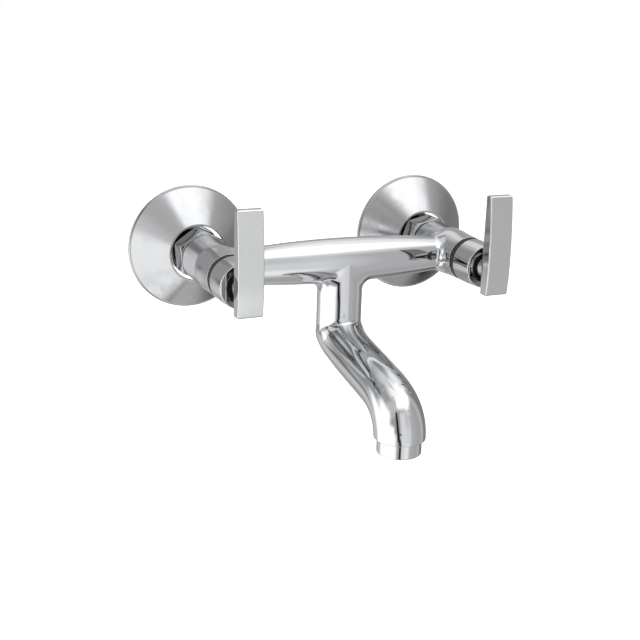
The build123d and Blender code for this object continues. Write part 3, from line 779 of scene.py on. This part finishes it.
def plated_leg():
    """The leg is chrome plated where it can be seen and bare brass on the thread behind the wall plane."""
    m, n, p, co = material("plated_leg")
    sep = n.put("ShaderNodeSeparateXYZ")
    n.link(co, sep.inputs[0])
    patch = n.math("MULTIPLY", n.math("SUBTRACT", n.noise(co, 260.0, 3.0), 0.5), 0.004)
    bare = n.ramp01(n.math("ADD", sep.outputs[1], patch), 0.0002, 0.0012)
    tarn = n.noise(co, 60.0, 4.0, 0.6)
    raw = n.colours(n.ramp01(tarn, 0.3, 0.75), [(0.0, (0.80, 0.60, 0.27)), (0.6, (0.72, 0.52, 0.23)), (1.0, (0.52, 0.36, 0.17))])
    mix = n.put("ShaderNodeMix", data_type="RGBA")
    n.link(bare, mix.inputs[0])
    mix.inputs[6].default_value = (0.56, 0.565, 0.575, 1)
    n.link(raw, mix.inputs[7])
    n.link(mix.outputs[2], p.inputs["Base Color"])
    n.link(n.mixf(bare, 0.10, 0.32), p.inputs["Roughness"])
    p.inputs["Metallic"].default_value = 1.0
    bump(n, p, tarn, 0.2, 0.00003)
    return m


def steel():
    m, n, p, co = material("stamped_steel")
    grain = n.noise(co, 700.0, 2.0, 0.5, (1.0, 0.2, 0.2))
    n.link(n.colours(grain, [(0.3, (0.50, 0.50, 0.51)), (0.7, (0.66, 0.66, 0.67))]), p.inputs["Base Color"])
    n.link(n.mixf(grain, 0.22, 0.4), p.inputs["Roughness"])
    p.inputs["Metallic"].default_value = 1.0
    bump(n, p, grain, 0.3, 0.00002)
    return m


def matte(name, dark, light, rough, scale, depth, spec=0.5):
    m, n, p, co = material(name)
    a = n.noise(co, scale, 4.0, 0.6)
    b = n.noise(co, scale * 6, 2.0, 0.5)
    n.link(n.colours(n.ramp01(a, 0.3, 0.7), [(0.0, dark), (1.0, light)]), p.inputs["Base Color"])
    n.link(n.mixf(b, rough - 0.08, min(1.0, rough + 0.08)), p.inputs["Roughness"])
    p.inputs["Specular IOR Level"].default_value = spec
    bump(n, p, n.math("ADD", n.math("MULTIPLY", a, 0.5), b), 0.5, depth)
    return m


CHROME = chrome("chrome_plate")
# wall flange plate, with painted shade on the inner face of its cone
CHROME_SHEET = chrome("chrome_sheet", (0.43, 0.433, 0.44), 0.2, 0.45, dull_and_shaded_inside=True)
CHROME_NUT = chrome("chrome_nut", (0.36, 0.363, 0.37), 0.12, 0.3)
CHROME_LEVER = chrome("chrome_lever", (0.55, 0.555, 0.56), 0.12, 0.2)
BRASS = brass()
PLATED_LEG = plated_leg()
STEEL = steel()
RUBBER = matte("epdm_rubber", (0.012, 0.012, 0.013), (0.03, 0.03, 0.031), 0.62, 500.0, 0.00004, 0.35)
FIBRE = matte("red_fibre", (0.36, 0.05, 0.03), (0.58, 0.13, 0.08), 0.85, 900.0, 0.00008, 0.2)
CERAMIC = matte("alumina", (0.84, 0.83, 0.80), (0.93, 0.92, 0.89), 0.3, 300.0, 0.00001, 0.6)
PLASTIC = matte("aerator_plastic", (0.62, 0.63, 0.63), (0.76, 0.76, 0.75), 0.42, 260.0, 0.00002, 0.45)
BLACK_PLASTIC = matte("glide_plastic", (0.008, 0.008, 0.009), (0.016, 0.016, 0.017), 0.45, 400.0, 0.00002, 0.3)


def paint(obj, mat):
    obj.data.materials.clear()
    obj.data.materials.append(mat)


def place(obj, body, node, mat):
    paint(obj, mat)
    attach(obj, body)
    if node:
        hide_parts(node)
    return obj


# ------------------------------------------------------------------ put together
place(make_body(), "mixer", "mixer_body", CHROME)
place(make_spout(), "mixer", "spout", CHROME)
place(turned_piece("aerator_ring", aerator_profile(), (0, -OUT_S), "z"), "mixer", "aerator_housing", CHROME)

HANDLE = implicit(handle_field, (-9.5, -114.5, -15.5), (9.5, -93, 46), 0.42, relax=4)
NUTS = {side: implicit(nut_field(turn), (-16.9, -32.5, -16.9), (16.9, -16, 16.9), 0.44, relax=4)
        for side, turn in (("left", 5.0), ("right", -18.0))}
for side, cx in SIDES:
    place(turned_piece(f"{side}_flange_cone", flange_profile(), (cx, 0), n=224), f"{side}_flange", f"{side}_wall_flange", CHROME_SHEET)
    place(turned_piece(f"{side}_sleeve", bonnet_profile(), (cx, 0)), "mixer", f"{side}_bonnet", CHROME)
    place(turned_piece(f"{side}_seam_ring", seam_ring_profile(), (cx, 0)), "mixer", f"{side}_bonnet_ring", RUBBER)
    place(turned_piece(f"{side}_glide_ring", glide_ring_profile(), (cx, 0)), "mixer", f"{side}_hub_ring", BLACK_PLASTIC)
    place(NUTS[side].make(f"{side}_hex_nut", (cx, 0, 0)), "mixer", f"{side}_union_nut", CHROME_NUT)
    place(HANDLE.make(f"{side}_lever_blade", (cx, 0, 0)), f"{side}_lever", f"{side}_handle", CHROME_LEVER)
    place(make_leg(f"{side}_wall_leg", cx), "mixer", f"{side}_connecting_leg", PLATED_LEG)

KEEP = {
    "inlet_washer": RUBBER, "strainer": STEEL, "seat_seal": RUBBER, "fixed_disc": CERAMIC, "moving_disc": CERAMIC,
    "cartridge_body": BRASS, "spindle": BRASS, "spindle_orings": RUBBER, "spindle_clip": STEEL,
    "bonnet_washer": FIBRE, "grub_screw": STEEL,
}
for side, _ in SIDES:
    for part, mat in KEEP.items():
        paint(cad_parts[f"{side}_{part}"], mat)
paint(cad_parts["aerator_insert"], PLASTIC)
paint(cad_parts["aerator_washer"], RUBBER)

# ------------------------------------------------------------------ floor
mesh = bpy.data.meshes.new("floor")
mesh.from_pydata([(-9, -9, -0.66), (9, -9, -0.66), (9, 9, -0.66), (-9, 9, -0.66)], [], [(0, 1, 2, 3)])
floor = bpy.data.objects.new("floor", mesh)
scene.collection.objects.link(floor)
m, n, p, co = material("studio_floor")
n.link(n.colours(n.noise(co, 3.0, 2.0), [(0.3, (0.93, 0.93, 0.93)), (0.7, (0.96, 0.96, 0.96))]), p.inputs["Base Color"])
p.inputs["Roughness"].default_value = 0.9
p.inputs["Specular IOR Level"].default_value = 0.1
p.inputs["Emission Color"].default_value = (1, 1, 1, 1)
p.inputs["Emission Strength"].default_value = 0.6
paint(floor, m)
floor.visible_glossy = False


# ------------------------------------------------------------------ studio light: a room of soft boxes and dark flags
def srgb(g):
    g = g / 255.0
    return g / 12.92 if g <= 0.04045 else ((g + 0.055) / 1.055) ** 2.4


world = bpy.data.worlds.new("studio")
scene.world = world
world.use_nodes = True
world.node_tree.nodes.clear()
W = Nodes(world.node_tree)
way = W.put("ShaderNodeTexCoord").outputs["Generated"]
sep = W.put("ShaderNodeSeparateXYZ")
W.link(way, sep.inputs[0])
X, Y, Z = sep.outputs
AZ = W.math("MULTIPLY", W.math("ARCTAN2", X, W.math("MULTIPLY", Y, -1.0)), 180 / math.pi)
EL = W.math("MULTIPLY", W.math("ARCSINE", Z), 180 / math.pi)


def window(v, lo, hi, soft):
    parts = []
    if lo is not None:
        parts.append(W.ramp01(v, lo - soft, lo + soft))
    if hi is not None:
        parts.append(W.math("SUBTRACT", 1.0, W.ramp01(v, hi - soft, hi + soft)))
    if not parts:
        return None
    return parts[0] if len(parts) == 1 else W.math("MULTIPLY", *parts)


GAIN = 1 / 0.54
BASE_GREY = 152
light = W.put("ShaderNodeValue")
light.outputs[0].default_value = srgb(BASE_GREY) * GAIN
light = light.outputs[0]
# (azimuth from, to, elevation from, to, softness in each, picture grey, lean in degrees of azimuth per degree up)
PANELS = [
    (-20.5, None, None, 46, 6, 5.5, 210, 0),         # wall in front, darker and darker to the right
    (5.5, None, None, 47.5, 11, 5, 203, 0),
    (25, None, None, 35.5, 7, 7, 169, 0),
    (47.5, None, None, 61.5, 14, 6, 159, 0),
    (4, 22, 15, 48, 6, 9, 190, 0),
    (2, 22, -46, -19, 6, 5, 226, 0),
    (80, None, None, 49, 7, 6, 184, 0),
    (92.5, None, None, 51.5, 13, 8.5, 118, 0),
    (108.5, 120.5, -71.5, -33.5, 3, 6, 8, 0),
    (134.5, None, -33.5, 31, 8, 3.5, 145, 0),        # the room behind, both sides of the seam at 180
    (None, -129.5, -44.5, 43.5, 8.5, 3.5, 136, 0),
    (None, -169.5, 5, 36.5, 3, 5, 120, 0),
    (148, None, -72, -37.5, 5.5, 3.5, 172, 0),
    (None, -128, -72, -42.5, 8, 4.5, 153, 0),
    (143.5, None, 29.5, 44, 10, 4, 203, 0),
    (None, -165.5, 32, 45.5, 11, 4, 179, 0),
    (-140.5, -91, -27, 60.5, 11, 4.5, 184, 1.24),    # large box on the left, with a slanting grey edge
    (-134, -40.5, -49.5, -4, 9, 7, 256, 0),
    (-135, -48.5, -29.5, 10.5, 5, 6, 256, 0),
    (-112, -68, 5, 33.5, 9, 8, 256, 0),
    (-151.5, -145, -14, 0, 2, 3, 108, 0),
    (-36.5, -26.5, -16, 44, 3, 3, 16, -0.17),        # black gap between box and wall
    (-34.5, -24, -54, -12, 3.5, 3, 18, -0.345),
    (None, None, None, -60, 5, 14, 156, 0),          # table, a paler cloth on the right
    (121, None, None, -62, 8, 5, 180, 0),
    (-124, -64.5, -83, -45.5, 14, 12, 259, 0),
    (None, None, 67.5, None, 6, 14, 246, 0),         # overhead boxes
    (None, -136.5, 50.5, None, 11.5, 10.5, 202, 0),
    (-34, 134.5, 54, 78, 10, 8, 285, 0),
    (22, 88, 47.5, 56, 10, 8, 280, 0),
    (100, 155, 42, 70, 10, 13, 230, 0),
]
for a0, a1, e0, e1, sa, se, grey, lean in PANELS:
    mask = None
    side_on = W.math("SUBTRACT", AZ, W.math("MULTIPLY", EL, lean)) if lean else AZ
    for part in (window(side_on, a0, a1, sa), window(EL, e0, e1, se)):
        if part is not None:
            mask = part if mask is None else W.math("MULTIPLY", mask, part)
    light = W.mixf(mask, light, srgb(grey) * GAIN)

room = W.put("ShaderNodeBackground")
W.link(light, room.inputs["Color"])
plain = W.put("ShaderNodeBackground")
plain.inputs["Color"].default_value = (1, 1, 1, 1)
plain.inputs["Strength"].default_value = 1.0
path = W.put("ShaderNodeLightPath")
mix = W.put("ShaderNodeMixShader")
W.link(path.outputs["Is Camera Ray"], mix.inputs[0])
W.link(room.outputs[0], mix.inputs[1])
W.link(plain.outputs[0], mix.inputs[2])
W.link(mix.outputs[0], W.put("ShaderNodeOutputWorld").inputs["Surface"])

# ------------------------------------------------------------------ camera
cam = bpy.data.cameras.new("camera")
cam.sensor_width = 36.0
cam.sensor_fit = "HORIZONTAL"
cam.lens = 64.05
cam.clip_start, cam.clip_end = 0.01, 50.0
camera = bpy.data.objects.new("camera", cam)
scene.collection.objects.link(camera)
R = Matrix(((0.91938, 0.08897, -0.38317), (-0.39224, 0.28091, -0.87592), (0.02971, 0.9556, 0.29316)))
camera.matrix_world = Matrix.Translation((-0.27059, -0.64974, 0.16201)) @ R.to_4x4()
scene.camera = camera
scene.view_settings.view_transform = "Standard"
scene.view_settings.look = "None"
